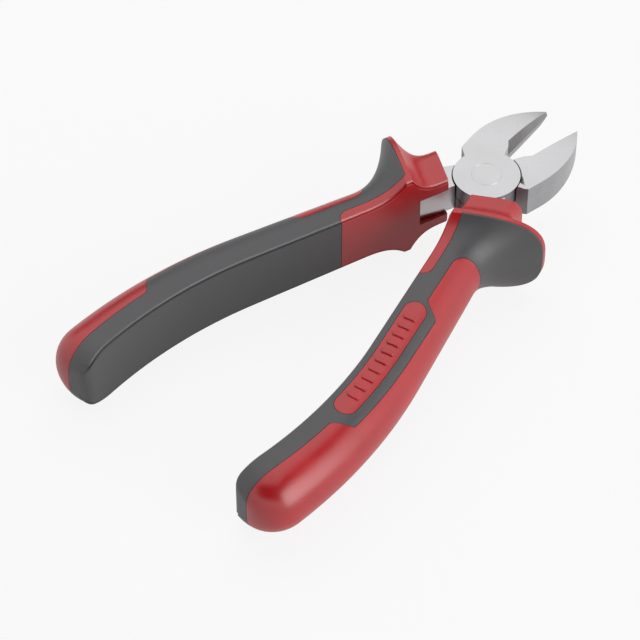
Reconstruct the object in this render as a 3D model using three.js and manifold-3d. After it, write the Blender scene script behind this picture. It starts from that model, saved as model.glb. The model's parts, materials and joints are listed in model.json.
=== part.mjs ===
// Side cutters with a lap joint and two-shot moulded grips.
// Millimetres, +Z up. The jaws point along +Y and the handles along -Y. The origin lies on the pivot axis,
// in the flat back face of the joint. Both levers are one design: the back one is the front one turned over,
// apart from the grind of its edge, which meets the other edge nearer to the front face.
// Each lever is drawn as it stands when the jaws are closed, with its cutting edge on the plane x = 0,
// its jaw on -X and its handle on +X, and is then swung open by half of the rest opening.

import * as THREE from 'three';
import { mergeVertices } from 'three/addons/utils/BufferGeometryUtils.js';
import Module from 'manifold-3d';

const wasm = await Module();
wasm.setup();

// Joint
const REST_OPENING = 18.6; // degrees between the two cutting edges as the tool lies
const HUB_RADIUS = 9;
const HEAD_THICKNESS = 9.4;
const LAP_GAP = 0.3; // between the two hubs, and round the edge of each hub
const RIVET_RADIUS = 3;
const RIVET_END_RADIUS = 4; // flared ends, ground flush with the joint faces
const RIVET_GAP = 0.1; // running clearance of the rivet in both hubs

// Jaws
const JAW_LENGTH = 31.5; // pivot to tip
const JAW_HALF_WIDTH = 11.05; // widest point of one jaw, from the cutting edge
const JAW_BULGE_AT = 9.5; // where the outer side starts to curve in to the tip
const TIP_WIDTH = 0.4;
const TIP_THICKNESS = 4.8;
const CROWN_START = 10.5; // where the jaw faces start to fall away to the tip
const SHOULDER_AT = 5.2; // rear outer corner of the jaw
const SHOULDER_ANGLE = 45; // degrees, of the rear face of the jaw
const THROAT_LENGTH = 3.5; // from the hub to the start of the ground edge
const THROAT_RELIEF = 0.9; // the edge stands this far back at the throat, so the tips meet first
const EDGE_RISE = 1.2; // both cutting edges lie this far in front of the middle of the head
const FRONT_BEVEL = 18; // degrees from upright, of the narrow bevel on the front face
const BACK_BEVEL = 20; // degrees from upright, of the wide bevel on the back face
const BEVEL_RUNOUT = 3.4; // length over which the ground bevel starts

// Tang of the lever
const TANG_THICKNESS = 8.4;
const ROOT_INNER = 2.2; // inner side of the tang at the hub, from the closing plane
const ROOT_OUTER = 10.5;
const NECK_ANGLE = 25; // degrees behind +X, where the outer side of the neck leaves the hub
const TANG_WIDTH = 4.4; // inside the grip
const TANG_DEPTH = 3.2; // inner side of the tang below the inner face of the grip
const TANG_SETTLED = 26; // along the grip, where the tang runs in line with it
const TANG_REACH = 98; // along the grip
const TANG_GAP = 0.3; // between tang and grip

// Course of the grip: its inner face starts at the mouth, runs straight and then bends in
const MOUTH_GAP = 2.6; // behind the hub
const MOUTH_INNER = 1.8; // inner face at the mouth, from the closing plane
const GRIP_SPLAY = 7.7; // degrees
const GRIP_STRAIGHT = 59.5;
const GRIP_BEND_RADIUS = 127;
const GRIP_LENGTH = 115;

// Sections of the grip
const MOUTH_WIDTH = 14.2;
const MOUTH_HEIGHT = 15.8;
const GUARD_AT = 12; // along the grip
const GUARD_WIDTH = 24.9;
const GUARD_HEIGHT = 26.2;
const GUARD_LAND = 1.8; // flat crest of the guard
const GUARD_FLAT = 1; // flat strip on top of the guard, next to the inner face
const GUARD_SKEW = 15; // degrees that the guard leans forward at its outer side
const SKEW_END = 36; // along the grip, where the sections stand square to it
const FRONT_FLARE = 3.6; // power of the curve that rises to the guard
const REAR_FLARE = 2.9; // power of the curve that falls from the guard
const NECK_AT = 26; // along the grip, where the guard has run out
const NECK_WIDTH = 12.1;
const NECK_HEIGHT = 17.6;
const END_WIDTH = 15;
const END_HEIGHT = 19.6;
const END_ROUND = 9; // length of the rounded end
const END_CLOSING = 0.6; // share of the section that the rounded end takes away
const END_INNER_ROUND = 2.6;
const GROOVE_DEPTH = 0.6; // fine groove along both edges of the inner face
const GROOVE_DROP = 1.1;

// Soft cover and the red areas that stay bare of it
const COVER_THICKNESS = 2;
const SEAM_GAP = 0.3; // between cover and core
const RIM_BARE = 0.4; // red rim behind the guard's crest
const WALL_STRIP = 3; // red strip above and below the bare inner wall
const WALL_END = 32.5; // along the grip
const TONGUE_START = 20.4;
const TONGUE_NOSE = 5; // radius of its rounded front
const TONGUE_FRONT_EDGE = 6.5; // distance of its edge from the inner face
const TONGUE_MIDDLE_EDGE = 10.5;
const TONGUE_REAR_EDGE = 5.8;
const TONGUE_STEP = 4.5; // length of each step of its edge
const PANEL_START = 42;
const PANEL_END = 83.4;
const PANEL_INNER_EDGE = 2.2;
const PANEL_OUTER_EDGE = 8.1;
const WINDOW_LENGTH = 8.6; // open inner side of the mouth, where the tang shows

// Facets
const ROUND_STEPS = 72;
const CORNER_STEPS = 6;
const PLAN_STEP = 6; // longest straight step of an outline along the grip

const BEYOND = 40; // cutting solids reach this far past what they cut
const halfThickness = HEAD_THICKNESS / 2;
const { clamp, degToRad, lerp, smoothstep } = THREE.MathUtils;

const steel = { color: 0xc9c9cc, roughness: 0.28, metalness: 1 };
const redPlastic = { color: 0xb01a20, roughness: 0.42, metalness: 0 };
const greyRubber = { color: 0x4b4b4e, roughness: 0.7, metalness: 0 };

// Solids for cutting and joining

function solid(geometry) {
  const bare = geometry.clone();
  bare.deleteAttribute('normal');
  bare.deleteAttribute('uv');
  const merged = mergeVertices(bare, 1e-4);
  const vertProperties = Float32Array.from(merged.attributes.position.array);
  const triVerts = Uint32Array.from(merged.index.array);
  return new wasm.Manifold(new wasm.Mesh({ numProp: 3, vertProperties, triVerts }));
}

function geometryOf(body) {
  const mesh = body.getMesh();
  const geometry = new THREE.BufferGeometry();
  geometry.setAttribute('position', new THREE.BufferAttribute(mesh.vertProperties, 3));
  geometry.setIndex(new THREE.BufferAttribute(mesh.triVerts, 1));
  geometry.computeVertexNormals();
  return geometry;
}

function plate(shape, low, high) {
  const geometry = new THREE.ExtrudeGeometry(shape, { depth: high - low, bevelEnabled: false, curveSegments: 16 });
  return solid(geometry.translate(0, 0, low));
}

function disc(radius, low, high) {
  const geometry = new THREE.CylinderGeometry(radius, radius, high - low, ROUND_STEPS);
  return solid(geometry.rotateX(Math.PI / 2).translate(0, 0, (low + high) / 2));
}

// Rivet: a shank with a cone at each end, as long as the head is thick

function rivetGeometry(gap, overshoot) {
  const flare = RIVET_END_RADIUS - RIVET_RADIUS;
  const end = halfThickness + overshoot;
  const profile = [
    new THREE.Vector2(0, -end),
    new THREE.Vector2(RIVET_END_RADIUS + gap + overshoot, -end),
    new THREE.Vector2(RIVET_RADIUS + gap, flare - halfThickness),
    new THREE.Vector2(RIVET_RADIUS + gap, halfThickness - flare),
    new THREE.Vector2(RIVET_END_RADIUS + gap + overshoot, end),
    new THREE.Vector2(0, end),
  ];
  return new THREE.LatheGeometry(profile, ROUND_STEPS).rotateX(Math.PI / 2);
}

// Course of the grip

const splay = degToRad(GRIP_SPLAY);
const mouth = new THREE.Vector2(MOUTH_INNER, -HUB_RADIUS - MOUTH_GAP);
const along = new THREE.Vector2(Math.sin(splay), -Math.cos(splay));
const outward = new THREE.Vector2(Math.cos(splay), Math.sin(splay));
const bendCentre = mouth.clone().addScaledVector(along, GRIP_STRAIGHT).addScaledVector(outward, -GRIP_BEND_RADIUS);

// Direction square to the grip's inner face, as an angle from +X
function squareAngle(reach) {
  return splay - Math.max(0, reach - GRIP_STRAIGHT) / GRIP_BEND_RADIUS;
}

// Plan point at a distance along the grip and out from its inner face
function planPoint(reach, out) {
  if (reach <= GRIP_STRAIGHT) {
    return mouth.clone().addScaledVector(along, reach).addScaledVector(outward, out);
  }
  const angle = squareAngle(reach);
  const radius = GRIP_BEND_RADIUS + out;
  return new THREE.Vector2(bendCentre.x + radius * Math.cos(angle), bendCentre.y + radius * Math.sin(angle));
}

// Plan points from one place [reach, out] to another, close enough together to follow the bend
function gripRun(start, end) {
  const steps = Math.max(1, Math.ceil(Math.abs(end[0] - start[0]) / PLAN_STEP));
  return Array.from({ length: steps + 1 }, (_, step) => planPoint(
    lerp(start[0], end[0], step / steps),
    lerp(start[1], end[1], step / steps),
  ));
}

function gripShape(places) {
  const runs = places.map((place, index) => gripRun(place, places[(index + 1) % places.length]));
  return new THREE.Shape(runs.flatMap((run) => run.slice(0, -1)));
}

// Levers

function jawShape() {
  const rise = JAW_LENGTH - JAW_BULGE_AT;
  const inset = JAW_HALF_WIDTH - TIP_WIDTH;
  const radius = (rise * rise + inset * inset) / (2 * inset);
  const centreX = radius - JAW_HALF_WIDTH;
  const tipAngle = Math.atan2(rise, -TIP_WIDTH - centreX);
  const shoulderRun = JAW_HALF_WIDTH / 3;
  const shoulderDrop = shoulderRun * Math.tan(degToRad(SHOULDER_ANGLE));
  const shape = new THREE.Shape();
  shape.moveTo(0, HUB_RADIUS / 2);
  shape.lineTo(0, HUB_RADIUS + LAP_GAP);
  shape.lineTo(-THROAT_RELIEF, HUB_RADIUS + THROAT_LENGTH);
  shape.lineTo(0, JAW_LENGTH);
  shape.lineTo(-TIP_WIDTH, JAW_LENGTH);
  shape.absarc(centreX, JAW_BULGE_AT, radius, tipAngle, Math.PI, false);
  shape.lineTo(-JAW_HALF_WIDTH, SHOULDER_AT);
  shape.lineTo(-JAW_HALF_WIDTH + shoulderRun, SHOULDER_AT - shoulderDrop);
  return shape;
}

function tangShape(gap) {
  const inner = TANG_DEPTH - gap;
  const outer = TANG_DEPTH + TANG_WIDTH + gap;
  const end = TANG_REACH + gap;
  const neck = degToRad(NECK_ANGLE);
  return new THREE.Shape([
    new THREE.Vector2(ROOT_INNER - gap, -HUB_RADIUS / 3),
    new THREE.Vector2(ROOT_INNER - gap, -HUB_RADIUS),
    ...gripRun([TANG_SETTLED, inner], [end, inner]),
    ...gripRun([end, outer], [TANG_SETTLED, outer]),
    new THREE.Vector2(ROOT_OUTER + gap, -HUB_RADIUS),
    new THREE.Vector2(HUB_RADIUS * Math.cos(neck), -HUB_RADIUS * Math.sin(neck)),
    new THREE.Vector2(HUB_RADIUS / 2, -HUB_RADIUS / 3),
  ]);
}

// Air above a jaw: its face falls to the tip in one arc
function crownCutter() {
  const rise = JAW_LENGTH - CROWN_START;
  const drop = (HEAD_THICKNESS - TIP_THICKNESS) / 2;
  const radius = (rise * rise + drop * drop) / (2 * drop);
  const sweep = 1.2 * Math.asin(rise / radius);
  const shape = new THREE.Shape();
  shape.moveTo(CROWN_START, halfThickness);
  shape.absarc(CROWN_START, halfThickness - radius, radius, Math.PI / 2, Math.PI / 2 - sweep, true);
  shape.lineTo(JAW_LENGTH + BEYOND, BEYOND);
  shape.lineTo(CROWN_START, BEYOND);
  const geometry = new THREE.ExtrudeGeometry(shape, { depth: 2 * BEYOND, bevelEnabled: false, curveSegments: 12 });
  const upright = new THREE.Matrix4().makeBasis(
    new THREE.Vector3(0, 1, 0),
    new THREE.Vector3(0, 0, 1),
    new THREE.Vector3(1, 0, 0),
  );
  return geometry.applyMatrix4(upright).translate(-BEYOND, 0, 0);
}

// Air in front of a cutting edge: two planes that meet in the edge, starting in a slant at the throat.
// The front face lies on the side of +Z, or of -Z on the lever that is turned over
function bevelCutter(side) {
  const edgeStart = HUB_RADIUS + THROAT_LENGTH;
  const frontSlope = Math.tan(degToRad(FRONT_BEVEL));
  const backSlope = Math.tan(degToRad(BACK_BEVEL));
  const lead = Math.atan(THROAT_RELIEF / (JAW_LENGTH - edgeStart));
  const wedge = new THREE.Shape([
    new THREE.Vector2(0, side * EDGE_RISE),
    new THREE.Vector2(-frontSlope * BEYOND, side * (EDGE_RISE + BEYOND)),
    new THREE.Vector2(BEYOND, side * (EDGE_RISE + BEYOND)),
    new THREE.Vector2(BEYOND, side * (EDGE_RISE - BEYOND)),
    new THREE.Vector2(-backSlope * BEYOND, side * (EDGE_RISE - BEYOND)),
  ]);
  const depth = JAW_LENGTH + BEVEL_RUNOUT - edgeStart;
  const geometry = new THREE.ExtrudeGeometry(wedge, { depth, bevelEnabled: false });
  geometry.rotateX(Math.PI / 2).translate(0, BEVEL_RUNOUT, 0);
  geometry.rotateZ(-lead).translate(0, JAW_LENGTH, 0);
  const spread = Math.max(frontSlope * (halfThickness - EDGE_RISE), backSlope * (halfThickness + EDGE_RISE));
  const slant = new THREE.Shape([
    new THREE.Vector2(-THROAT_RELIEF, edgeStart - BEVEL_RUNOUT),
    new THREE.Vector2(-THROAT_RELIEF, edgeStart),
    new THREE.Vector2(-THROAT_RELIEF - spread, edgeStart + BEVEL_RUNOUT),
    new THREE.Vector2(-BEYOND, edgeStart + BEVEL_RUNOUT),
    new THREE.Vector2(-BEYOND, edgeStart - BEVEL_RUNOUT),
  ]);
  return solid(geometry).subtract(plate(slant, -2 * BEYOND, 2 * BEYOND));
}

function leverBody(side) {
  const crown = crownCutter();
  const halfTang = TANG_THICKNESS / 2;
  return disc(HUB_RADIUS, -halfThickness, halfThickness)
    .add(plate(jawShape(), -halfThickness, halfThickness))
    .add(plate(tangShape(0), -halfTang, halfTang))
    .subtract(solid(crown))
    .subtract(solid(crown.clone().rotateY(Math.PI)))
    .subtract(bevelCutter(side))
    .subtract(disc(HUB_RADIUS + LAP_GAP, -HEAD_THICKNESS, LAP_GAP / 2))
    .subtract(solid(rivetGeometry(RIVET_GAP, RIVET_END_RADIUS - RIVET_RADIUS)));
}

// Grips

const guardFront = GUARD_AT - GUARD_LAND / 2;
const guardBack = GUARD_AT + GUARD_LAND / 2;
const endStart = GRIP_LENGTH - END_ROUND;
const share = (value, from, to) => clamp((value - from) / (to - from), 0, 1);
const quarterRound = (part) => 1 - Math.sqrt(1 - part * part);

// Direction of a section across the grip, as an angle from +X
function sectionAngle(reach) {
  return squareAngle(reach) + degToRad(GUARD_SKEW) * (1 - smoothstep(reach, GUARD_AT, SKEW_END));
}

// Outline of a section, inset from the surface: places [out, height] round from the outermost point
function sectionPoints(reach, inset) {
  const ahead = reach < GUARD_AT;
  const back = share(reach + inset, guardBack, NECK_AT);
  const flare = ahead ? share(reach, 0, guardFront) ** FRONT_FLARE : (1 - back) ** REAR_FLARE;
  const body = share(reach, guardBack, endStart);
  const plainWidth = ahead ? MOUTH_WIDTH : lerp(NECK_WIDTH, END_WIDTH, body);
  const plainHeight = ahead ? MOUTH_HEIGHT : lerp(NECK_HEIGHT, END_HEIGHT, body);
  const closing = 1 - END_CLOSING * quarterRound(share(reach, endStart, GRIP_LENGTH));
  const width = lerp(plainWidth, GUARD_WIDTH, flare) * closing - inset;
  const height = lerp(plainHeight, GUARD_HEIGHT, flare) * closing / 2 - inset;
  const inner = END_INNER_ROUND * quarterRound(share(reach, GRIP_LENGTH - END_INNER_ROUND, GRIP_LENGTH)) + inset;
  const mouthness = ahead ? 1 - flare : 0;
  const power = 2 / (2 + flare + 2 * mouthness);
  const roundStart = Math.max(inner + 2 * GROOVE_DEPTH, lerp(width - height, GUARD_FLAT, flare));
  const half = Array.from({ length: CORNER_STEPS + 1 }, (_, step) => {
    const angle = (step / CORNER_STEPS) * (Math.PI / 2);
    const cosine = Math.max(0, Math.cos(angle));
    return [roundStart + (width - roundStart) * cosine ** power, height * Math.sin(angle) ** power];
  });
  half.push(
    [inner + GROOVE_DEPTH, height],
    [inner + GROOVE_DEPTH / 2, height - GROOVE_DROP / 3],
    [inner + GROOVE_DEPTH, height - GROOVE_DROP * 0.8],
    [inner, height - GROOVE_DROP],
  );
  const mirrored = half.slice(1).reverse().map(([out, rise]) => [out, -rise]);
  return [...half, ...mirrored];
}

// Places along the grip where sections stand: close together on the guard and at the end
function stations(endSteps) {
  const list = [];
  const spread = (from, to, steps, power) => {
    for (let step = 0; step < steps; step += 1) {
      list.push(lerp(from, to, (step / steps) ** power));
    }
  };
  spread(0, guardFront, 6, 0.7);
  spread(guardFront, guardBack, 1, 1);
  spread(guardBack, NECK_AT, 6, 1.5);
  spread(NECK_AT, endStart, 10, 1);
  for (let step = 0; step <= endSteps; step += 1) {
    list.push(endStart + END_ROUND * Math.sin((step / 6) * (Math.PI / 2)));
  }
  return list;
}

// Closed skin through the sections. An inset skin ends short of the rounded end
function gripSolid(inset) {
  const places = stations(inset > 0 ? 4 : 6);
  const sections = places.map((reach) => sectionPoints(reach, inset));
  const rings = places.map((reach, index) => {
    const angle = sectionAngle(reach);
    const base = planPoint(reach - inset * share(reach, NECK_AT, GRIP_LENGTH), 0);
    return sections[index].map(([out, rise]) => [
      base.x + out * Math.cos(angle),
      base.y + out * Math.sin(angle),
      rise,
    ]);
  });
  const count = sections[0].length;
  const last = places.length - 1;
  const indices = [];
  for (let ring = 0; ring < last; ring += 1) {
    for (let point = 0; point < count; point += 1) {
      const a = ring * count + point;
      const b = ring * count + ((point + 1) % count);
      indices.push(a, b, b + count, a, b + count, a + count);
    }
  }
  const cap = (ring) => {
    const outline = sections[ring].map((place) => new THREE.Vector2(...place));
    return THREE.ShapeUtils.triangulateShape(outline, []).map((face) => face.map((corner) => corner + ring * count));
  };
  cap(0).forEach(([a, b, c]) => indices.push(a, c, b));
  cap(last).forEach((face) => indices.push(...face));
  const geometry = new THREE.BufferGeometry();
  geometry.setAttribute('position', new THREE.Float32BufferAttribute(rings.flat(2), 3));
  geometry.setIndex(indices);
  return solid(geometry);
}

// Red areas as upright solids in plan. The cover leaves them wider by the seam

function bareFront(grow) {
  const reach = GUARD_AT + RIM_BARE + grow;
  const angle = sectionAngle(reach);
  const across = new THREE.Vector2(Math.cos(angle), Math.sin(angle)).multiplyScalar(BEYOND);
  const ahead = new THREE.Vector2(-across.y, across.x);
  const base = planPoint(reach, 0);
  return new THREE.Shape([
    base.clone().sub(across),
    base.clone().add(across),
    base.clone().add(across).add(ahead),
    base.clone().sub(across).add(ahead),
  ]);
}

function bareWall(grow) {
  const end = WALL_END + grow;
  const edge = WALL_STRIP + grow;
  return gripShape([
    [0, -BEYOND / 4],
    [end, -BEYOND / 4],
    [end, 0],
    [end - edge * 0.3, edge * 0.7],
    [end - edge, edge],
    [0, edge],
  ]);
}

function bareTongue(grow) {
  const places = [];
  for (let step = 0; step <= CORNER_STEPS; step += 1) {
    const angle = (step / CORNER_STEPS) * (Math.PI / 2);
    places.push([
      TONGUE_START - grow + TONGUE_NOSE * (1 - Math.cos(angle)),
      TONGUE_FRONT_EDGE - grow + TONGUE_NOSE * (1 - Math.sin(angle)),
    ]);
  }
  const stepEdge = (from, start, end) => {
    for (let step = 0; step <= CORNER_STEPS; step += 1) {
      const part = step / CORNER_STEPS;
      places.push([from + TONGUE_STEP * part, lerp(start, end, smoothstep(part, 0, 1)) - grow]);
    }
  };
  stepEdge(PANEL_START - TONGUE_STEP / 2, TONGUE_FRONT_EDGE, TONGUE_MIDDLE_EDGE);
  stepEdge(PANEL_END, TONGUE_MIDDLE_EDGE, TONGUE_REAR_EDGE);
  places.push([GRIP_LENGTH + END_ROUND, TONGUE_REAR_EDGE - grow]);
  places.push([GRIP_LENGTH + END_ROUND, BEYOND]);
  places.push([TONGUE_START - grow, BEYOND]);
  return gripShape(places);
}

function panelShape(grow) {
  const radius = (PANEL_OUTER_EDGE - PANEL_INNER_EDGE) / 2;
  const middle = PANEL_INNER_EDGE + radius;
  const places = [];
  const roundEnd = (centre, from) => {
    for (let step = 0; step <= 2 * CORNER_STEPS; step += 1) {
      const angle = from + (step / (2 * CORNER_STEPS)) * Math.PI;
      places.push([centre + (radius + grow) * Math.cos(angle), middle + (radius + grow) * Math.sin(angle)]);
    }
  };
  roundEnd(PANEL_END - radius, -Math.PI / 2);
  roundEnd(PANEL_START + radius, Math.PI / 2);
  return gripShape(places);
}

function bareSolid(grow) {
  return plate(bareFront(grow), -BEYOND, BEYOND)
    .add(plate(bareWall(grow), -BEYOND, BEYOND))
    .add(plate(bareTongue(grow), -BEYOND, BEYOND))
    .add(plate(panelShape(grow), 0, BEYOND));
}

function tangPocket() {
  const half = TANG_THICKNESS / 2 + TANG_GAP;
  const window = gripShape([
    [-GUARD_AT, -BEYOND / 4],
    [WINDOW_LENGTH, -BEYOND / 4],
    [WINDOW_LENGTH, TANG_DEPTH],
    [-GUARD_AT, TANG_DEPTH],
  ]);
  return plate(tangShape(TANG_GAP), -half, half).add(plate(window, -half, half));
}

const gripBody = gripSolid(0);
const coreBody = gripBody
  .intersect(gripSolid(COVER_THICKNESS + SEAM_GAP).add(bareSolid(0)))
  .subtract(tangPocket());
const coverBody = gripBody
  .subtract(gripSolid(COVER_THICKNESS))
  .subtract(bareSolid(SEAM_GAP));

// Assembly

function part(name, geometry, finish) {
  const mesh = new THREE.Mesh(geometry, new THREE.MeshStandardMaterial(finish));
  mesh.name = name;
  return mesh;
}

function leverHalf(name, side) {
  const half = new THREE.Group();
  half.name = `half_${name}`;
  half.add(
    part(`lever_${name}`, geometryOf(leverBody(side)), steel),
    part(`grip_core_${name}`, geometryOf(coreBody), redPlastic),
    part(`grip_cover_${name}`, geometryOf(coverBody), greyRubber),
  );
  half.rotation.z = degToRad(REST_OPENING / 2);
  return half;
}

const turnedOver = new THREE.Group();
turnedOver.name = 'turned_over';
turnedOver.rotation.y = Math.PI;
turnedOver.add(leverHalf('back', -1));

const sideCutters = new THREE.Group();
sideCutters.name = 'side_cutters';
sideCutters.position.z = halfThickness;
sideCutters.add(leverHalf('front', 1), turnedOver, part('pivot_rivet', rivetGeometry(0, 0), steel));

export default sideCutters;
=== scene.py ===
"""Side cutters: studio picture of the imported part, with finely moulded grips and ground steel halves."""

import json
import logging
import math
from collections import Counter
from dataclasses import dataclass
from enum import Enum, IntEnum

import bmesh
import bpy
from mathutils import Matrix, Vector

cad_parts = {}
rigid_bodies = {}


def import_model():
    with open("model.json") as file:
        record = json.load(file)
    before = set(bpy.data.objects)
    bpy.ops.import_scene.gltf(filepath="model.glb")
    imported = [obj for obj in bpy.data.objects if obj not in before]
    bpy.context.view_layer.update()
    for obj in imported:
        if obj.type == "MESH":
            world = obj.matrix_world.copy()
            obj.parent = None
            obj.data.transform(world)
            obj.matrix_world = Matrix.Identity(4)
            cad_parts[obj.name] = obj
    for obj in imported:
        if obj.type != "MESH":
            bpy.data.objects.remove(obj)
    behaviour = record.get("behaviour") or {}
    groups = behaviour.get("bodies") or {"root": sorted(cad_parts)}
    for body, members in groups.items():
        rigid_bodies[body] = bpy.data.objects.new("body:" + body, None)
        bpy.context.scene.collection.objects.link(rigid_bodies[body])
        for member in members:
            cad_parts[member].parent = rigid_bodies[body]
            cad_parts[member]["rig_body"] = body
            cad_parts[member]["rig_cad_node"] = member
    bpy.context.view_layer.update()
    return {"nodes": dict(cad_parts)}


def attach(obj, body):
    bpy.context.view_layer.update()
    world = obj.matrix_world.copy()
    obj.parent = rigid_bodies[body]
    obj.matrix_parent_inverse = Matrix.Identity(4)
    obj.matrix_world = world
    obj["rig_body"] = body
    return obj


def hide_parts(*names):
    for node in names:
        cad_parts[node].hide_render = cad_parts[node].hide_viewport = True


MM = 0.001
PAPER_ROUGHNESS = 0.9
LOG = logging.getLogger("side_cutters")


class Half(Enum):
    """The two halves of the tool. The back one is the front one turned over."""

    FRONT = "front"
    BACK = "back"

    @property
    def body(self) -> str:
        """Name of the moving body that carries this half."""
        return f"{self.value}_half"


class Join(Enum):
    """What a Boolean modifier does with its tool."""

    ADD = "UNION"
    CUT = "DIFFERENCE"
    KEEP = "INTERSECT"


class LeverFace(IntEnum):
    """Kinds of faces on a lever, in the order of its materials."""

    LEVER_STEEL = 0
    # The ground edge: its own grind, and a darker base that is partly painted shade.
    GROUND_EDGE = 1
    # Darker steel on the walls round the joint and on faces near it that turn to the rear.
    FORGED_STEEL = 2
    # Painted shade: darker steel for the side walls of the jaws.
    SIDE_STEEL = 3


def focus(piece: bpy.types.Object) -> None:
    """Leaves one object selected and active.

    Args:
        piece: The object to work on.
    """
    bpy.ops.object.select_all(action="DESELECT")
    piece.select_set(True)
    bpy.context.view_layer.objects.active = piece


def lerp(start: float, end: float, part: float) -> float:
    """Value between two others."""
    return start + (end - start) * part


def share(value: float, start: float, end: float) -> float:
    """How far a value lies between two others, from 0 to 1."""
    return min(1.0, max(0.0, (value - start) / (end - start)))


def smooth(value: float, start: float, end: float) -> float:
    """The same share with a soft start and end."""
    part = share(value, start, end)
    return part * part * (3 - 2 * part)


def quarter_round(part: float) -> float:
    """Drop of a quarter circle at a share of its radius."""
    return 1 - math.sqrt(max(0.0, 1 - part * part))


def heading(azimuth: float, elevation: float) -> Vector:
    """Direction that is seen from the tool.

    Args:
        azimuth: Degrees round from -Y.
        elevation: Degrees above the horizon.

    Returns:
        The direction, one unit long.
    """
    turn, lift = math.radians(azimuth), math.radians(elevation)
    return Vector((math.sin(turn) * math.cos(lift), -math.cos(turn) * math.cos(lift), math.sin(lift)))


def loft(name: str, rings: list[list[Vector]]) -> bpy.types.Object:
    """Models a closed skin: a disc that is extruded from ring to ring.

    Args:
        name: Name of the new object.
        rings: Places of each ring in millimetres, all with the same count.

    Returns:
        The new object, in metres.
    """
    bpy.ops.object.select_all(action="DESELECT")
    bpy.ops.mesh.primitive_circle_add(vertices=len(rings[0]), radius=MM, fill_type="NGON")
    piece = bpy.context.object
    piece.name = name
    bpy.ops.object.mode_set(mode="EDIT")
    mesh = bmesh.from_edit_mesh(piece.data)
    edge = list(mesh.verts)
    for vertex, place in zip(edge, rings[0]):
        vertex.co = place * MM
    for ring in rings[1:]:
        order = {tuple(vertex.co): index for index, vertex in enumerate(edge)}
        bpy.ops.mesh.extrude_region()
        mesh = bmesh.from_edit_mesh(piece.data)
        moved = [vertex for vertex in mesh.verts if vertex.select]
        edge = sorted(moved, key=lambda vertex: order[tuple(vertex.co)])
        for vertex, place in zip(edge, ring):
            vertex.co = place * MM
    bmesh.update_edit_mesh(piece.data)
    bpy.ops.mesh.select_all(action="SELECT")
    bpy.ops.mesh.normals_make_consistent(inside=False)
    bpy.ops.object.mode_set(mode="OBJECT")
    return piece


def prism(name: str, outline: list[Vector], low: float, high: float) -> bpy.types.Object:
    """Models an upright block over an outline in plan.

    Args:
        name: Name of the new object.
        outline: Plan places in millimetres.
        low: Height of its underside.
        high: Height of its top.

    Returns:
        The new object, in metres.
    """
    return loft(name, [[Vector((spot.x, spot.y, height)) for spot in outline] for height in (low, high)])


def combine(piece: bpy.types.Object, join: Join, tool: bpy.types.Object) -> None:
    """Joins or cuts a piece with a tool, which is used up.

    Args:
        piece: The object that stays.
        join: What happens.
        tool: The other object.
    """
    modifier = piece.modifiers.new(join.name.lower(), "BOOLEAN")
    modifier.operation = join.value
    modifier.solver = "EXACT"
    modifier.object = tool
    focus(piece)
    bpy.ops.object.modifier_apply(modifier=modifier.name)
    bpy.data.objects.remove(tool)


def clear_slivers(piece: bpy.types.Object, size: float) -> None:
    """Merges points that Boolean steps left almost in one place, and drops slivers that are folded flat.

    Args:
        piece: The object to clean.
        size: Largest gap that closes, in millimetres.
    """
    focus(piece)
    bpy.ops.object.mode_set(mode="EDIT")
    bpy.ops.mesh.select_all(action="SELECT")
    bpy.ops.mesh.remove_doubles(threshold=size * MM)
    bpy.ops.mesh.dissolve_degenerate(threshold=size * MM)
    bpy.ops.mesh.select_mode(type="FACE")
    mesh = bmesh.from_edit_mesh(piece.data)
    for face in mesh.faces:
        face.select_set(len(face.verts) > 4)
    bpy.ops.mesh.quads_convert_to_tris(quad_method="BEAUTY", ngon_method="BEAUTY")
    mesh = bmesh.from_edit_mesh(piece.data)
    corners = {face: frozenset(face.verts) for face in mesh.faces}
    counts = Counter(corners.values())
    for face in mesh.faces:
        face.select_set(counts[corners[face]] > 1)
    bpy.ops.mesh.delete(type="FACE")
    bpy.ops.object.mode_set(mode="OBJECT")


def twin(piece: bpy.types.Object, name: str) -> bpy.types.Object:
    """Copies a piece with a mesh of its own.

    Args:
        piece: The object to copy.
        name: Name of the copy.

    Returns:
        The copy.
    """
    copy = piece.copy()
    copy.data = piece.data.copy()
    copy.name = name
    bpy.context.scene.collection.objects.link(copy)
    return copy


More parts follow.
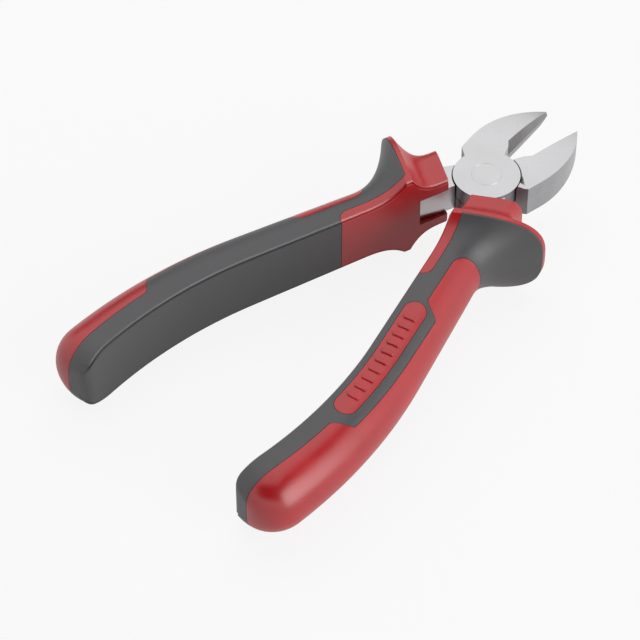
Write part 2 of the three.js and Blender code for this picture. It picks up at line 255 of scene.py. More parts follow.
class NodeDesk:
    """A material's node tree with short ways to add and link nodes."""

    DARK_AT = 0.3
    LIGHT_AT = 0.7

    def __init__(self, name: str) -> None:
        """Starts a material with one shader.

        Args:
            name: Name of the material.
        """
        self.material = bpy.data.materials.new(name)
        self.material.use_nodes = True
        self.tree = self.material.node_tree
        self.shader = self.tree.nodes["Principled BSDF"]

    def place(self, scale: tuple[float, float, float]) -> bpy.types.NodeSocket:
        """Object coordinates, stretched by a Mapping node.

        Args:
            scale: Factor along each axis.

        Returns:
            The socket that gives the coordinates.
        """
        source = self.tree.nodes.new("ShaderNodeTexCoord")
        mapping = self.tree.nodes.new("ShaderNodeMapping")
        mapping.inputs["Scale"].default_value = scale
        self.tree.links.new(source.outputs["Object"], mapping.inputs["Vector"])
        return mapping.outputs["Vector"]

    def noise(self, place: bpy.types.NodeSocket, scale: float, detail: float) -> bpy.types.NodeSocket:
        """A noise pattern.

        Args:
            place: Coordinates that it reads.
            scale: Repeats per metre.
            detail: Octaves.

        Returns:
            The socket that gives its grey value.
        """
        node = self.tree.nodes.new("ShaderNodeTexNoise")
        node.inputs["Scale"].default_value = scale
        node.inputs["Detail"].default_value = detail
        self.tree.links.new(place, node.inputs["Vector"])
        return node.outputs["Fac"]

    def tint(self, value: bpy.types.NodeSocket, low: tuple, high: tuple, target: str) -> None:
        """Colours a shader socket between two colours.

        Args:
            value: Grey pattern.
            low: Colour where the pattern is dark.
            high: Colour where it is light.
            target: Name of the shader's socket.
        """
        ramp = self.tree.nodes.new("ShaderNodeValToRGB")
        ramp.color_ramp.elements[0].position = self.DARK_AT
        ramp.color_ramp.elements[1].position = self.LIGHT_AT
        ramp.color_ramp.elements[0].color = (*low, 1)
        ramp.color_ramp.elements[1].color = (*high, 1)
        self.tree.links.new(value, ramp.inputs["Fac"])
        self.tree.links.new(ramp.outputs["Color"], self.shader.inputs[target])

    def vary(self, value: bpy.types.NodeSocket, low: float, high: float, target: str) -> None:
        """Lets a shader number vary between two values.

        Args:
            value: Grey pattern.
            low: Number where the pattern is dark.
            high: Number where it is light.
            target: Name of the shader's socket.
        """
        node = self.tree.nodes.new("ShaderNodeMapRange")
        node.inputs["From Min"].default_value = self.DARK_AT
        node.inputs["From Max"].default_value = self.LIGHT_AT
        node.inputs["To Min"].default_value = low
        node.inputs["To Max"].default_value = high
        self.tree.links.new(value, node.inputs["Value"])
        self.tree.links.new(node.outputs["Result"], self.shader.inputs[target])

    def bump(self, value: bpy.types.NodeSocket, strength: float, depth: float) -> None:
        """Roughens the surface, over what is there already.

        Args:
            value: Grey pattern.
            strength: Share of the effect.
            depth: Depth of the pattern in metres.
        """
        node = self.tree.nodes.new("ShaderNodeBump")
        node.inputs["Strength"].default_value = strength
        node.inputs["Distance"].default_value = depth
        self.tree.links.new(value, node.inputs["Height"])
        target = self.shader.inputs["Normal"]
        if target.is_linked:
            self.tree.links.new(target.links[0].from_socket, node.inputs["Normal"])
        self.tree.links.new(node.outputs["Normal"], target)


def paper(name: str, grey: float) -> NodeDesk:
    """Starts a matt material.

    Args:
        name: Name of the material.
        grey: Its shade.

    Returns:
        The material's node tree.
    """
    desk = NodeDesk(name)
    desk.shader.inputs["Base Color"].default_value = (grey, grey, grey, 1)
    desk.shader.inputs["Roughness"].default_value = PAPER_ROUGHNESS
    return desk


@dataclass(frozen=True)
class MouldedFinish:
    """Finish of a moulded grip: even colour, fine spark-eroded grain and slow shade changes. Metres."""

    name: str
    dark: tuple[float, float, float]
    light: tuple[float, float, float]
    smooth_roughness: float
    dull_roughness: float
    grain_size: float
    grain_depth: float
    gloss: float
    sheen: float = 0.0
    sheen_roughness: float = 0.5
    grain_share: float = 0.35
    clouds_per_metre: float = 90.0
    waves_per_metre: float = 260.0
    wave_share: float = 0.05
    wave_depth: float = 0.0004

    def material(self) -> bpy.types.Material:
        """Builds the material.

        Returns:
            The new material.
        """
        desk = NodeDesk(self.name)
        place = desk.place((1, 1, 1))
        clouds = desk.noise(place, self.clouds_per_metre, detail=3)
        grain = desk.noise(place, 1 / self.grain_size, detail=2)
        desk.tint(clouds, self.dark, self.light, "Base Color")
        desk.vary(clouds, self.smooth_roughness, self.dull_roughness, "Roughness")
        desk.bump(desk.noise(place, self.waves_per_metre, detail=2), self.wave_share, self.wave_depth)
        desk.bump(grain, self.grain_share, self.grain_depth)
        desk.shader.inputs["Specular IOR Level"].default_value = self.gloss
        desk.shader.inputs["Sheen Weight"].default_value = self.sheen
        desk.shader.inputs["Sheen Roughness"].default_value = self.sheen_roughness
        return desk.material


@dataclass(frozen=True)
class SteelFinish:
    """Finish of ground steel: fine lines along one direction and faint stains. Metres."""

    name: str
    dark: tuple[float, float, float]
    light: tuple[float, float, float]
    bright_roughness: float
    dull_roughness: float
    lines: tuple[float, float, float]
    line_depth: float
    line_share: float = 0.3
    stains_per_metre: float = 120.0

    def material(self) -> bpy.types.Material:
        """Builds the material.

        Returns:
            The new material.
        """
        desk = NodeDesk(self.name)
        desk.shader.inputs["Metallic"].default_value = 1
        stains = desk.noise(desk.place((1, 1, 1)), self.stains_per_metre, detail=4)
        lines = desk.noise(desk.place(self.lines), scale=1, detail=3)
        desk.tint(stains, self.dark, self.light, "Base Color")
        desk.vary(stains, self.bright_roughness, self.dull_roughness, "Roughness")
        desk.bump(lines, self.line_share, self.line_depth)
        return desk.material


RED_PLASTIC = MouldedFinish(
    name="satin_red",
    dark=(0.52, 0.008, 0.014),
    light=(0.59, 0.013, 0.02),
    smooth_roughness=0.28,
    dull_roughness=0.36,
    grain_size=0.0005,
    grain_depth=0.00002,
    gloss=1.0,
)
GREY_RUBBER = MouldedFinish(
    name="soft_grey",
    dark=(0.06, 0.06, 0.064),
    light=(0.077, 0.077, 0.081),
    smooth_roughness=0.4,
    dull_roughness=0.5,
    grain_size=0.0006,
    grain_depth=0.00004,
    gloss=0.85,
    sheen=0.1,
)
POLISHED_STEEL = SteelFinish(
    name="polished_steel",
    dark=(0.65, 0.65, 0.66),
    light=(0.7, 0.7, 0.71),
    bright_roughness=0.22,
    dull_roughness=0.3,
    lines=(420, 9000, 420),
    line_depth=0.000003,
)
# Painted shade: a darker copy of the polished steel for the side walls of the jaws.
SIDE_STEEL = SteelFinish(
    name="side_steel",
    dark=(0.43, 0.43, 0.44),
    light=(0.52, 0.52, 0.53),
    bright_roughness=0.26,
    dull_roughness=0.36,
    lines=(900, 900, 5200),
    line_depth=0.000004,
)
# Darker, rougher steel for the walls round the joint and the faces near it that turn to the rear.
FORGED_STEEL = SteelFinish(
    name="forged_steel",
    dark=(0.2, 0.2, 0.21),
    light=(0.32, 0.32, 0.33),
    bright_roughness=0.34,
    dull_roughness=0.5,
    lines=(2600, 2600, 900),
    line_depth=0.00001,
)
# Ground cutting edge: rougher ground lines, and a darker base that is partly painted shade.
SHADED_EDGE_STEEL = SteelFinish(
    name="ground_edge",
    dark=(0.3, 0.29, 0.29),
    light=(0.38, 0.37, 0.37),
    bright_roughness=0.3,
    dull_roughness=0.42,
    lines=(900, 6000, 900),
    line_depth=0.000008,
)


@dataclass
class GripCourse:
    """Course of a grip in plan: straight from its mouth, then bending in. Millimetres and degrees."""

    mouth_inner: float = 1.8
    mouth_behind: float = 11.6
    splay: float = 7.7
    straight: float = 59.5
    bend_radius: float = 127.0
    length: float = 115.0

    def square_angle(self, reach: float) -> float:
        """Direction square to the inner face, in radians from +X."""
        return math.radians(self.splay) - max(0.0, reach - self.straight) / self.bend_radius

    def spot(self, reach: float, out: float) -> Vector:
        """Plan point of the grip.

        Args:
            reach: Distance along the grip.
            out: Distance from its inner face.

        Returns:
            The point, in millimetres.
        """
        turn = math.radians(self.splay)
        mouth = Vector((self.mouth_inner, -self.mouth_behind))
        along = Vector((math.sin(turn), -math.cos(turn)))
        outward = Vector((math.cos(turn), math.sin(turn)))
        if reach <= self.straight:
            return mouth + along * reach + outward * out
        centre = mouth + along * self.straight - outward * self.bend_radius
        angle = self.square_angle(reach)
        return centre + Vector((math.cos(angle), math.sin(angle))) * (self.bend_radius + out)

    def outline(self, places: list[tuple[float, float]], step: float = 2.0) -> list[Vector]:
        """Closed plan outline that follows the bend.

        Args:
            places: Corners as distance along and out.
            step: Longest straight step.

        Returns:
            Plan points, in millimetres.
        """
        spots = []
        for start, end in zip(places, places[1:] + places[:1]):
            count = max(1, math.ceil(abs(end[0] - start[0]) / step))
            for index in range(count):
                part = index / count
                spots.append(self.spot(lerp(start[0], end[0], part), lerp(start[1], end[1], part)))
        return spots


@dataclass
class GripSkin:
    """Outer skin of a grip: its sections along the course. Millimetres and degrees."""

    course: GripCourse
    mouth_width: float = 14.2
    mouth_height: float = 15.8
    guard_at: float = 12.0
    guard_width: float = 24.9
    guard_height: float = 26.2
    guard_land: float = 1.8
    guard_flat: float = 1.0
    guard_skew: float = 15.0
    skew_end: float = 36.0
    front_flare: float = 3.6
    rear_flare: float = 2.9
    neck_at: float = 26.0
    neck_width: float = 12.1
    neck_height: float = 17.6
    end_width: float = 15.0
    end_height: float = 19.6
    end_round: float = 9.0
    end_closing: float = 0.6
    end_inner_round: float = 2.6
    groove_depth: float = 0.6
    groove_drop: float = 1.1
    groove_lip: float = 1 / 3
    groove_foot: float = 0.8
    under_end: float = 0.87
    corner_steps: int = 20
    front_steps: int = 24
    front_spacing: float = 0.7
    land_steps: int = 3
    rear_steps: int = 26
    rear_spacing: float = 1.5
    body_steps: int = 40
    end_steps: int = 14

    def section_angle(self, reach: float) -> float:
        """Direction of a section across the grip, in radians from +X."""
        lean = math.radians(self.guard_skew) * (1 - smooth(reach, self.guard_at, self.skew_end))
        return self.course.square_angle(reach) + lean

    def section(self, reach: float, inset: float) -> list[tuple[float, float]]:
        """Outline of one section.

        Args:
            reach: Distance along the grip.
            inset: Depth below the surface.

        Returns:
            Places as distance out and height, round from the outermost point.
        """
        guard_back = self.guard_at + self.guard_land / 2
        end_start = self.course.length - self.end_round
        ahead = reach < self.guard_at
        if ahead:
            flare = share(reach, 0, self.guard_at - self.guard_land / 2) ** self.front_flare
            plain_width, plain_height = self.mouth_width, self.mouth_height
        else:
            flare = (1 - share(reach + inset, guard_back, self.neck_at)) ** self.rear_flare
            body = share(reach, guard_back, end_start)
            plain_width = lerp(self.neck_width, self.end_width, body)
            plain_height = lerp(self.neck_height, self.end_height, body)
        closing = 1 - self.end_closing * quarter_round(share(reach, end_start, self.course.length))
        width = lerp(plain_width, self.guard_width, flare) * closing - inset
        height = lerp(plain_height, self.guard_height, flare) * closing / 2 - inset
        nose = share(reach, self.course.length - self.end_inner_round, self.course.length)
        inner = self.end_inner_round * quarter_round(nose) + inset
        power = 2 / (2 + flare + (2 * (1 - flare) if ahead else 0))
        start = max(inner + 2 * self.groove_depth, lerp(width - height, self.guard_flat, flare))
        half = []
        for step in range(self.corner_steps + 1):
            angle = step / self.corner_steps * math.pi / 2
            cosine = max(0.0, math.cos(angle))
            half.append((start + (width - start) * cosine**power, height * math.sin(angle) ** power))
        half += [
            (inner + self.groove_depth, height),
            (inner + self.groove_depth / 2, height - self.groove_drop * self.groove_lip),
            (inner + self.groove_depth, height - self.groove_drop * self.groove_foot),
            (inner, height - self.groove_drop),
        ]
        return half + [(out, -rise) for out, rise in reversed(half[1:])]

    def top(self, reach: float, out: float) -> float:
        """Height of the upper face of the skin.

        Args:
            reach: Distance along the grip.
            out: Distance from the inner face.

        Returns:
            The height, in millimetres.
        """
        upper = self.section(reach, 0)[: self.corner_steps + 2]
        for (far, low), (near, high) in zip(upper, upper[1:]):
            if near <= out <= far:
                return lerp(high, low, (out - near) / (far - near))
        return upper[-1][1]

    def stations(self, end_part: float) -> list[float]:
        """Places along the grip where sections stand, close together on the guard and at the end.

        Args:
            end_part: Share of the rounded end that is reached.

        Returns:
            Distances along the grip.
        """
        guard_front = self.guard_at - self.guard_land / 2
        guard_back = self.guard_at + self.guard_land / 2
        end_start = self.course.length - self.end_round
        turn = math.asin(end_part)
        places = []
        for step in range(self.front_steps):
            places.append(guard_front * (step / self.front_steps) ** self.front_spacing)
        places += [lerp(guard_front, guard_back, step / self.land_steps) for step in range(self.land_steps)]
        for step in range(self.rear_steps):
            places.append(lerp(guard_back, self.neck_at, (step / self.rear_steps) ** self.rear_spacing))
        places += [lerp(self.neck_at, end_start, step / self.body_steps) for step in range(self.body_steps)]
        for step in range(self.end_steps + 1):
            places.append(end_start + self.end_round * math.sin(turn * step / self.end_steps))
        return places

    def build(self, name: str, inset: float) -> bpy.types.Object:
        """Models the skin, or one that lies below it.

        Args:
            name: Name of the new object.
            inset: Depth below the surface.

        Returns:
            The closed skin.
        """
        rings = []
        for reach in self.stations(self.under_end if inset > 0 else 1.0):
            angle = self.section_angle(reach)
            base = self.course.spot(reach - inset * share(reach, self.neck_at, self.course.length), 0)
            rings.append([
                Vector((base.x + out * math.cos(angle), base.y + out * math.sin(angle), rise))
                for out, rise in self.section(reach, inset)
            ])
        return loft(name, rings)


@dataclass
class GripAreas:
    """Red areas that the soft cover leaves bare, as upright blocks in plan. Millimetres."""

    skin: GripSkin
    rim: float = 0.4
    wall_strip: float = 3.0
    wall_end: float = 32.5
    tongue_start: float = 20.4
    tongue_nose: float = 5.0
    tongue_front_edge: float = 6.5
    tongue_middle_edge: float = 10.5
    tongue_rear_edge: float = 5.8
    tongue_step: float = 4.5
    panel_start: float = 42.0
    panel_end: float = 83.4
    panel_inner_edge: float = 2.2
    panel_outer_edge: float = 8.1
    beyond: float = 40.0
    inward: float = 10.0
    stagger: float = 1.0
    steps: int = 14

    def front(self, grow: float) -> list[Vector]:
        """Everything ahead of the rim of the guard.

        Args:
            grow: How much wider the area is taken.

        Returns:
            Plan outline.
        """
        reach = self.skin.guard_at + self.rim + grow
        angle = self.skin.section_angle(reach)
        across = Vector((math.cos(angle), math.sin(angle))) * self.beyond
        ahead = Vector((-across.y, across.x))
        base = self.skin.course.spot(reach, 0)
        return [base - across, base + across, base + across + ahead, base - across + ahead]

    def wall(self, grow: float) -> list[Vector]:
        """Inner wall behind the mouth.

        Args:
            grow: How much wider the area is taken.

        Returns:
            Plan outline.
        """
        end, edge = self.wall_end + grow, self.wall_strip + grow
        corner = []
        for step in range(self.steps + 1):
            angle = math.pi / 2 * step / self.steps
            corner.append((end - edge * (1 - math.cos(angle)), edge * math.sin(angle)))
        return self.skin.course.outline([(0, -self.inward), (end, -self.inward), *corner, (0, edge)])

    def tongue(self, grow: float) -> list[Vector]:
        """Long tongue on the outer side, with a wider end behind the panel.

        Args:
            grow: How much wider the area is taken.

        Returns:
            Plan outline.
        """
        places = []
        for step in range(self.steps + 1):
            angle = step / self.steps * math.pi / 2
            places.append((
                self.tongue_start - grow + self.tongue_nose * (1 - math.cos(angle)),
                self.tongue_front_edge - grow + self.tongue_nose * (1 - math.sin(angle)),
            ))
        edges = (
            (self.panel_start - self.tongue_step / 2, self.tongue_front_edge, self.tongue_middle_edge),
            (self.panel_end, self.tongue_middle_edge, self.tongue_rear_edge),
        )
        for start, before, after in edges:
            for step in range(self.steps + 1):
                part = step / self.steps
                edge = lerp(before, after, smooth(part, 0, 1)) - grow
                places.append((start + self.tongue_step * part, edge))
        past = self.skin.course.length + self.skin.end_round
        places += [
            (past, self.tongue_rear_edge - grow),
            (past, self.beyond),
            (self.tongue_start - grow, self.beyond),
        ]
        return self.skin.course.outline(places)

    def panel(self, grow: float) -> list[Vector]:
        """Long oval panel on the front face.

        Args:
            grow: How much wider the area is taken.

        Returns:
            Plan outline.
        """
        radius = (self.panel_outer_edge - self.panel_inner_edge) / 2
        middle = self.panel_inner_edge + radius
        ends = ((self.panel_end - radius, -math.pi / 2), (self.panel_start + radius, math.pi / 2))
        grown = radius + grow
        places = []
        for centre, first in ends:
            for step in range(2 * self.steps + 1):
                angle = first + step / (2 * self.steps) * math.pi
                places.append((centre + grown * math.cos(angle), middle + grown * math.sin(angle)))
        return self.skin.course.outline(places)

    def build(self, grow: float) -> bpy.types.Object:
        """Models the blocks as one tool for cutting.

        Args:
            grow: How much wider the areas are taken.

        Returns:
            The tool.
        """
        blocks = prism("areas", self.front(grow), -self.beyond, self.beyond)
        reach = self.beyond + self.stagger
        combine(blocks, Join.ADD, prism("wall", self.wall(grow), -reach, reach))
        reach += self.stagger
        combine(blocks, Join.ADD, prism("tongue", self.tongue(grow), -reach, reach))
        reach += self.stagger
        combine(blocks, Join.ADD, prism("panel", self.panel(grow), 0, reach))
        return blocks


@dataclass
class Grip:
    """A two-shot grip: hard red core and soft grey cover. Millimetres and degrees."""

    skin: GripSkin
    areas: GripAreas
    cover_thickness: float = 2.0
    seam: float = 0.12
    sliver: float = 0.004
    tang_half: float = 4.5
    tang_root_inner: float = 1.9
    tang_root_outer: float = 10.8
    tang_inner: float = 2.9
    tang_outer: float = 7.9
    tang_settled: float = 26.0
    tang_end: float = 98.3
    hub_radius: float = 9.0
    window_length: float = 8.6
    window_depth: float = 3.2
    window_inset: float = 0.01
    run_steps: int = 24

    def pocket(self) -> bpy.types.Object:
        """Models the room for the tang, with the open inner side of the mouth.

        Returns:
            The tool for cutting.
        """
        course = self.skin.course
        rest = self.tang_end - self.tang_settled
        run = [self.tang_settled + rest * step / self.run_steps for step in range(self.run_steps + 1)]
        outline = [Vector((self.tang_root_inner, 0)), Vector((self.tang_root_inner, -self.hub_radius))]
        outline += [course.spot(reach, self.tang_inner) for reach in run]
        outline += [course.spot(reach, self.tang_outer) for reach in reversed(run)]
        outline += [Vector((self.tang_root_outer, -self.hub_radius)), Vector((self.tang_root_outer, 0))]
        room = prism("tang_room", outline, -self.tang_half, self.tang_half)
        start, side = -self.skin.guard_at, -self.areas.inward
        window = course.outline([
            (start, side),
            (self.window_length, side),
            (self.window_length, self.window_depth),
            (start, self.window_depth),
        ])
        half = self.tang_half - self.window_inset
        combine(room, Join.ADD, prism("window", window, -half, half))
        return room

    def build(self) -> tuple[bpy.types.Object, bpy.types.Object]:
        """Models core and cover in the place of the closed front half.

        Returns:
            The core and the cover.
        """
        skin = self.skin.build("grip_skin", 0)
        core = twin(skin, "grip_core")
        kept = self.areas.build(0)
        combine(kept, Join.ADD, self.skin.build("under_skin", self.cover_thickness + self.seam))
        combine(core, Join.KEEP, kept)
        combine(core, Join.CUT, self.pocket())
        combine(skin, Join.CUT, self.areas.build(self.seam))
        combine(skin, Join.CUT, self.skin.build("under_skin", self.cover_thickness))
        skin.name = "grip_cover"
        for piece in (core, skin):
            clear_slivers(piece, self.sliver)
        return core, skin


@dataclass
class PanelRibs:
    """Low ribs across the oval panel, where the thumb lies. Millimetres."""

    skin: GripSkin
    first: float = 48.0
    last: float = 77.4
    count: int = 10
    middle: float = 5.1
    length: float = 3.5
    width: float = 1.3
    rise: float = 0.42
    sunk: float = 0.6
    crown: float = 0.32
    crown_segments: int = 4
    end_share: float = 0.48
    end_segments: int = 8
    margin: float = 0.01

    def rib(self) -> bpy.types.Object:
        """Models one rib: a block with round ends and a crowned top.

        Returns:
            The rib, standing on the origin.
        """
        bpy.ops.object.select_all(action="DESELECT")
        sides = Vector((self.length, self.width, self.rise + self.sunk)) * MM
        middle = Vector((0, 0, (self.rise - self.sunk) / 2)) * MM
        bpy.ops.mesh.primitive_cube_add(size=1, location=middle, scale=sides)
        piece = bpy.context.object
        bpy.ops.object.transform_apply(location=True, rotation=True, scale=True)
        bpy.ops.object.mode_set(mode="EDIT")
        bpy.ops.mesh.select_mode(type="EDGE")
        bpy.ops.mesh.select_all(action="DESELECT")
        mesh = bmesh.from_edit_mesh(piece.data)
        for edge in mesh.edges:
            edge.select = abs(edge.verts[0].co.z - edge.verts[1].co.z) > self.rise * MM
        bpy.ops.mesh.bevel(offset=self.width * self.end_share * MM, segments=self.end_segments, affect="EDGES")
        bpy.ops.mesh.select_all(action="DESELECT")
        mesh = bmesh.from_edit_mesh(piece.data)
        for edge in mesh.edges:
            edge.select = all(spot.co.z > (self.rise - self.margin) * MM for spot in edge.verts)
        bpy.ops.mesh.bevel(offset=self.crown * MM, segments=self.crown_segments, affect="EDGES")
        bpy.ops.object.mode_set(mode="OBJECT")
        return piece

    def build(self) -> bpy.types.Object:
        """Copies the rib along the panel and joins the copies.

        Returns:
            The row of ribs, in the place of the closed front half.
        """
        pattern = self.rib()
        copies = []
        for index in range(self.count):
            reach = lerp(self.first, self.last, index / (self.count - 1))
            spot = self.skin.course.spot(reach, self.middle)
            fall = self.skin.top(reach, self.middle + 1) - self.skin.top(reach, self.middle - 1)
            across = Matrix.Rotation(self.skin.course.square_angle(reach), 4, "Z")
            leaning = Matrix.Rotation(-math.atan(fall / 2), 4, "Y")
            foot = Vector((spot.x, spot.y, self.skin.top(reach, self.middle))) * MM
            copy = twin(pattern, f"rib_{index}")
            copy.data.transform(Matrix.Translation(foot) @ across @ leaning)
            copies.append(copy)
        bpy.data.objects.remove(pattern)
        focus(copies[0])
        for copy in copies:
            copy.select_set(True)
        bpy.ops.object.join()
        return bpy.context.object


@dataclass
class ToolHalf:
    """One half of the tool: its lever and its grip. Millimetres and degrees."""

    half: Half
    rest_opening: float = 18.6
    head_thickness: float = 9.4
    merge: float = 0.002
    flat_turn: float = 0.2
    sharp_turn: float = 20.0
    moulded_turn: float = 32.0
    edge_start: float = 11.0
    wall_reach: float = 13.0
    hub_reach: float = 9.5
    upward: float = 0.6
    inward: float = 0.7
    rearward: float = 0.4

    def place(self) -> Matrix:
        """Matrix from the closed front half to this half at rest.

        Returns:
            The matrix, in metres.
        """
        opened = Matrix.Rotation(math.radians(self.rest_opening / 2), 4, "Z")
        turned = Matrix.Rotation(math.pi, 4, "Y") if self.half is Half.BACK else Matrix.Identity(4)
        return Matrix.Translation((0, 0, self.head_thickness / 2 * MM)) @ turned @ opened

    def dress_grip(self, grip: dict[str, bpy.types.Object], finishes: dict) -> list[bpy.types.Object]:
        """Copies the modelled grip to this half.

        Args:
            grip: Core, cover and ribs of the closed front half.
            finishes: Materials by slot.

        Returns:
            The new pieces.
        """
        pieces = []
        for kind, shape in grip.items():
            slot = "grey_rubber" if kind == "grip_cover" else "red_plastic"
            piece = twin(shape, f"{kind}_{self.half.value}_moulded")
            piece.data.transform(self.place())
            piece.data.materials.clear()
            piece.data.materials.append(finishes[slot])
            focus(piece)
            bpy.ops.object.shade_smooth_by_angle(angle=math.radians(self.moulded_turn))
            if kind != "panel_ribs":
                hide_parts(f"{kind}_{self.half.value}")
            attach(piece, self.half.body)
            pieces.append(piece)
        return pieces

    def dress_lever(self, node: bpy.types.Object, finishes: dict) -> bpy.types.Object:
        """Copies the forged lever and gives each kind of face a finish of its own; the darker side steel on
        the jaws' side walls is painted shade.

        Args:
            node: The lever's solid.
            finishes: Materials by slot.

        Returns:
            The new piece.
        """
        focus(node)
        bpy.ops.object.duplicate()
        piece = bpy.context.object
        piece.name = f"{node.name}_ground"
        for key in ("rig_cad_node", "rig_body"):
            del piece[key]
        piece.data.transform(self.place().inverted())
        piece.data.materials.clear()
        for kind in LeverFace:
            piece.data.materials.append(finishes[kind.name.lower()])
        bpy.ops.object.mode_set(mode="EDIT")
        bpy.ops.mesh.select_all(action="SELECT")
        bpy.ops.mesh.remove_doubles(threshold=self.merge * MM)
        bpy.ops.mesh.dissolve_limited(angle_limit=math.radians(self.flat_turn))
        mesh = bmesh.from_edit_mesh(piece.data)
        for face in mesh.faces:
            face.material_index = self.kind_of(face)
        bmesh.update_edit_mesh(piece.data)
        bpy.ops.object.mode_set(mode="OBJECT")
        piece.data.transform(self.place())
        bpy.ops.object.shade_smooth_by_angle(angle=math.radians(self.sharp_turn))
        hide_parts(node.name)
        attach(piece, self.half.body)
        return piece

    def kind_of(self, face: bmesh.types.BMFace) -> LeverFace:
        """Which kind a face of the lever is.

        Args:
            face: The face, in the place of the closed front half.

        Returns:
            Its kind. Flat faces and the tang are polished; the ground edge and the side walls get darker
            steel, painted shade on the side walls and partly on the edge; the walls round the joint and faces
            near it that turn to the rear get a darker steel.
        """
        centre = face.calc_center_median() / MM
        reach = centre.xy.length
        if abs(face.normal.z) > self.upward:
            return LeverFace.LEVER_STEEL
        # Inner faces of the jaws get the ground edge's steel, whose darker base is partly painted shade.
        if face.normal.x > self.inward and centre.y > self.edge_start:
            return LeverFace.GROUND_EDGE
        # Walls round the joint, and faces near it that turn to the rear, get the darker steel.
        if reach < self.wall_reach and (reach < self.hub_reach or face.normal.y < -self.rearward):
            return LeverFace.FORGED_STEEL
        # Painted shade: other side walls of the jaws get the darker side steel.
        return LeverFace.SIDE_STEEL if centre.y > 0 else LeverFace.LEVER_STEEL


@dataclass
class Rivet:
    """Pivot rivet with ends that are ground flush. Millimetres."""

    shank_radius: float = 3.0
    end_radius: float = 4.06
    length: float = 9.4
    edge_break: float = 0.03
    sides: int = 96
    sharp_turn: float = 25.0

    def build(self, finishes: dict) -> bpy.types.Object:
        """Models the rivet: a shank whose ends are extruded and flared.

        Args:
            finishes: Materials by slot.

        Returns:
            The new piece.
        """
        flare = self.end_radius - self.shank_radius
        inner, outer = self.shank_radius, self.end_radius
        heights = (
            (outer - self.edge_break, 0.0),
            (outer, self.edge_break),
            (inner, flare),
            (inner, self.length - flare),
            (outer, self.length - self.edge_break),
            (outer - self.edge_break, self.length),
        )
        angles = [math.tau * step / self.sides for step in range(self.sides)]
        rings = [
            [Vector((radius * math.cos(angle), radius * math.sin(angle), height)) for angle in angles]
            for radius, height in heights
        ]
        piece = loft("pivot_rivet_flush", rings)
        piece.data.materials.append(finishes["rivet_steel"])
        focus(piece)
        bpy.ops.object.shade_smooth_by_angle(angle=math.radians(self.sharp_turn))
        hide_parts("pivot_rivet")
        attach(piece, Half.FRONT.body)
        return piece


@dataclass(frozen=True)
class Card:
    """A card that the tool mirrors: where it is seen from the tool, and its shade. Millimetres and degrees."""

    name: str
    azimuth: float
    elevation: float
    distance: float
    width: float
    height: float
    grey: float


CARDS = (
    Card("grey_card", 223.0, 10.0, 1100, 1800, 420, 0.16),
    Card("dark_card", 38.0, 46.0, 1250, 1500, 1100, 0.04),
    Card("shoulder_card", 112.0, 57.0, 1250, 1700, 460, 0.03),
)


@dataclass(frozen=True)
class Lamp:
    """A square softbox, and whether the tool mirrors it. Millimetres and watts."""

    name: str
    spot: tuple[float, float, float]
    side: float
    power: float
    mirrored: bool


LAMPS = (
    Lamp("top_softbox", (-520, 430, 800), 1400, 7.6, False),
    Lamp("right_softbox", (900, 60, 300), 800, 5.0, True),
)


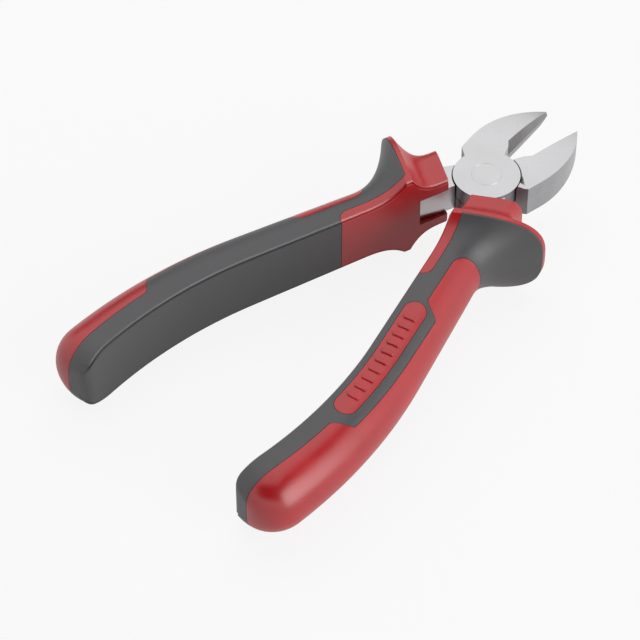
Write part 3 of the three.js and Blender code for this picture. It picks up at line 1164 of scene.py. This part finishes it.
@dataclass
class Studio:
    """Pale floor, soft light and the camera of the photograph. Millimetres and degrees."""

    azimuth: float = 43.18
    elevation: float = 47.39
    distance: float = 806.6
    target: tuple[float, float, float] = (0.75, -65.4, 4.7)
    lens: float = 177.2
    sensor: float = 36.0
    near: float = 50.0
    lamp_aim: tuple[float, float, float] = (0, -60, 0)
    room_shade: tuple[float, float, float] = (0.28, 0.28, 0.285)
    floor_shade: float = 0.86
    floor_height: float = -9.1
    floor_tilt: float = -1.95
    floor_side: float = 6000.0
    floor_glow: float = 0.88
    floor_mirrored: float = 0.5

    def shoot(self) -> None:
        """Places the camera."""
        back = heading(self.azimuth, self.elevation)
        bpy.ops.object.camera_add(location=(Vector(self.target) + back * self.distance) * MM)
        camera = bpy.context.object
        camera.rotation_euler = (-back).to_track_quat("-Z", "Y").to_euler()
        camera.data.lens = self.lens
        camera.data.sensor_width = self.sensor
        camera.data.clip_start = self.near * MM
        bpy.context.scene.camera = camera

    def light(self) -> None:
        """Places the lamps and the pale surroundings."""
        for lamp in LAMPS:
            towards = Vector(self.lamp_aim) - Vector(lamp.spot)
            bpy.ops.object.light_add(type="AREA", location=Vector(lamp.spot) * MM)
            softbox = bpy.context.object
            softbox.name = lamp.name
            softbox.rotation_euler = towards.to_track_quat("-Z", "Y").to_euler()
            softbox.data.size = lamp.side * MM
            softbox.data.energy = lamp.power
            softbox.visible_glossy = lamp.mirrored
        world = bpy.data.worlds.new("pale_room")
        bpy.context.scene.world = world
        world.use_nodes = True
        shade = world.node_tree.nodes["Background"]
        shade.inputs["Color"].default_value = (*self.room_shade, 1)
        nodes, links = world.node_tree.nodes, world.node_tree.links
        white = nodes.new("ShaderNodeBackground")
        white.inputs["Color"].default_value = (1, 1, 1, 1)
        mix = nodes.new("ShaderNodeMixShader")
        links.new(seen_directly(world.node_tree, 1.0), mix.inputs["Fac"])
        links.new(shade.outputs["Background"], mix.inputs[1])
        links.new(white.outputs["Background"], mix.inputs[2])
        links.new(mix.outputs["Shader"], nodes["World Output"].inputs["Surface"])

    def stand_card(self, card: Card) -> bpy.types.Object:
        """Stands a card round the tool, out of the picture, for the tool to mirror.

        Args:
            card: Which card.

        Returns:
            The card.
        """
        back = heading(card.azimuth, card.elevation)
        bpy.ops.mesh.primitive_plane_add(size=1, location=(Vector(self.target) + back * card.distance) * MM)
        piece = bpy.context.object
        piece.name = card.name
        piece.scale = (card.width * MM, card.height * MM, 1)
        piece.rotation_euler = back.to_track_quat("Z", "Y").to_euler()
        piece.visible_camera = False
        piece.data.materials.append(paper(f"{card.name}_paper", card.grey).material)
        return piece

    def lay_floor(self) -> bpy.types.Object:
        """Lays the pale floor under the guards and the ends of the grips.

        Returns:
            The floor.
        """
        bpy.ops.mesh.primitive_plane_add(size=self.floor_side * MM, location=(0, 0, self.floor_height * MM))
        floor = bpy.context.object
        floor.name = "floor"
        floor.rotation_euler.x = math.radians(self.floor_tilt)
        desk = paper("pale_floor", self.floor_shade)
        nodes, links = desk.tree.nodes, desk.tree.links
        glow = nodes.new("ShaderNodeEmission")
        glow.inputs["Color"].default_value = (1, 1, 1, 1)
        mix = nodes.new("ShaderNodeMixShader")
        glowing = nodes.new("ShaderNodeMath")
        glowing.operation = "MULTIPLY"
        glowing.inputs[1].default_value = self.floor_glow
        links.new(seen_directly(desk.tree, self.floor_mirrored), glowing.inputs[0])
        links.new(glowing.outputs["Value"], mix.inputs["Fac"])
        links.new(desk.shader.outputs["BSDF"], mix.inputs[1])
        links.new(glow.outputs["Emission"], mix.inputs[2])
        links.new(mix.outputs["Shader"], nodes["Material Output"].inputs["Surface"])
        floor.data.materials.append(desk.material)
        return floor


def seen_directly(tree: bpy.types.NodeTree, mirrored: float) -> bpy.types.NodeSocket:
    """Adds nodes that tell whether the camera, a mirror or glass sees a surface.

    Args:
        tree: The node tree.
        mirrored: Share of the effect that a mirror shows.

    Returns:
        The socket that is 1 for the camera and through glass, and the share in a mirror.
    """
    rays = tree.nodes.new("ShaderNodeLightPath")
    weaker = tree.nodes.new("ShaderNodeMath")
    weaker.operation = "MULTIPLY"
    weaker.inputs[1].default_value = mirrored
    tree.links.new(rays.outputs["Is Glossy Ray"], weaker.inputs[0])
    value = rays.outputs["Is Camera Ray"]
    for other in (weaker.outputs["Value"], rays.outputs["Is Transmission Ray"]):
        either = tree.nodes.new("ShaderNodeMath")
        either.operation = "MAXIMUM"
        tree.links.new(value, either.inputs[0])
        tree.links.new(other, either.inputs[1])
        value = either.outputs["Value"]
    return value


def report(piece: bpy.types.Object) -> None:
    """Reports a finished piece."""
    LOG.info("%s: %d faces", piece.name, len(piece.data.polygons))


def main() -> None:
    """Builds the picture: frame, studio, halves and rivet."""
    logging.basicConfig(level=logging.INFO, format="%(name)s: %(message)s")
    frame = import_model()
    bpy.context.scene.view_settings.view_transform = "Standard"
    studio = Studio()
    studio.shoot()
    studio.light()
    report(studio.lay_floor())
    for card in CARDS:
        report(studio.stand_card(card))
    finishes = {
        "red_plastic": RED_PLASTIC.material(),
        "grey_rubber": GREY_RUBBER.material(),
        "lever_steel": POLISHED_STEEL.material(),
        # Ground edge steel, its darker base partly painted shade.
        "ground_edge": SHADED_EDGE_STEEL.material(),
        # Darker steel round the joint and on rear-facing faces near it.
        "forged_steel": FORGED_STEEL.material(),
        # Painted shade: darker steel for the jaws' side walls.
        "side_steel": SIDE_STEEL.material(),
    }
    finishes["rivet_steel"] = finishes["lever_steel"]
    skin = GripSkin(GripCourse())
    core, cover = Grip(skin, GripAreas(skin)).build()
    shapes = {"grip_core": core, "grip_cover": cover, "panel_ribs": PanelRibs(skin).build()}
    for half in Half:
        tool_half = ToolHalf(half)
        for piece in tool_half.dress_grip(shapes, finishes):
            report(piece)
        report(tool_half.dress_lever(frame["nodes"][f"lever_{half.value}"], finishes))
    for shape in shapes.values():
        bpy.data.objects.remove(shape)
    report(Rivet().build(finishes))


if __name__ == "__main__":
    main()
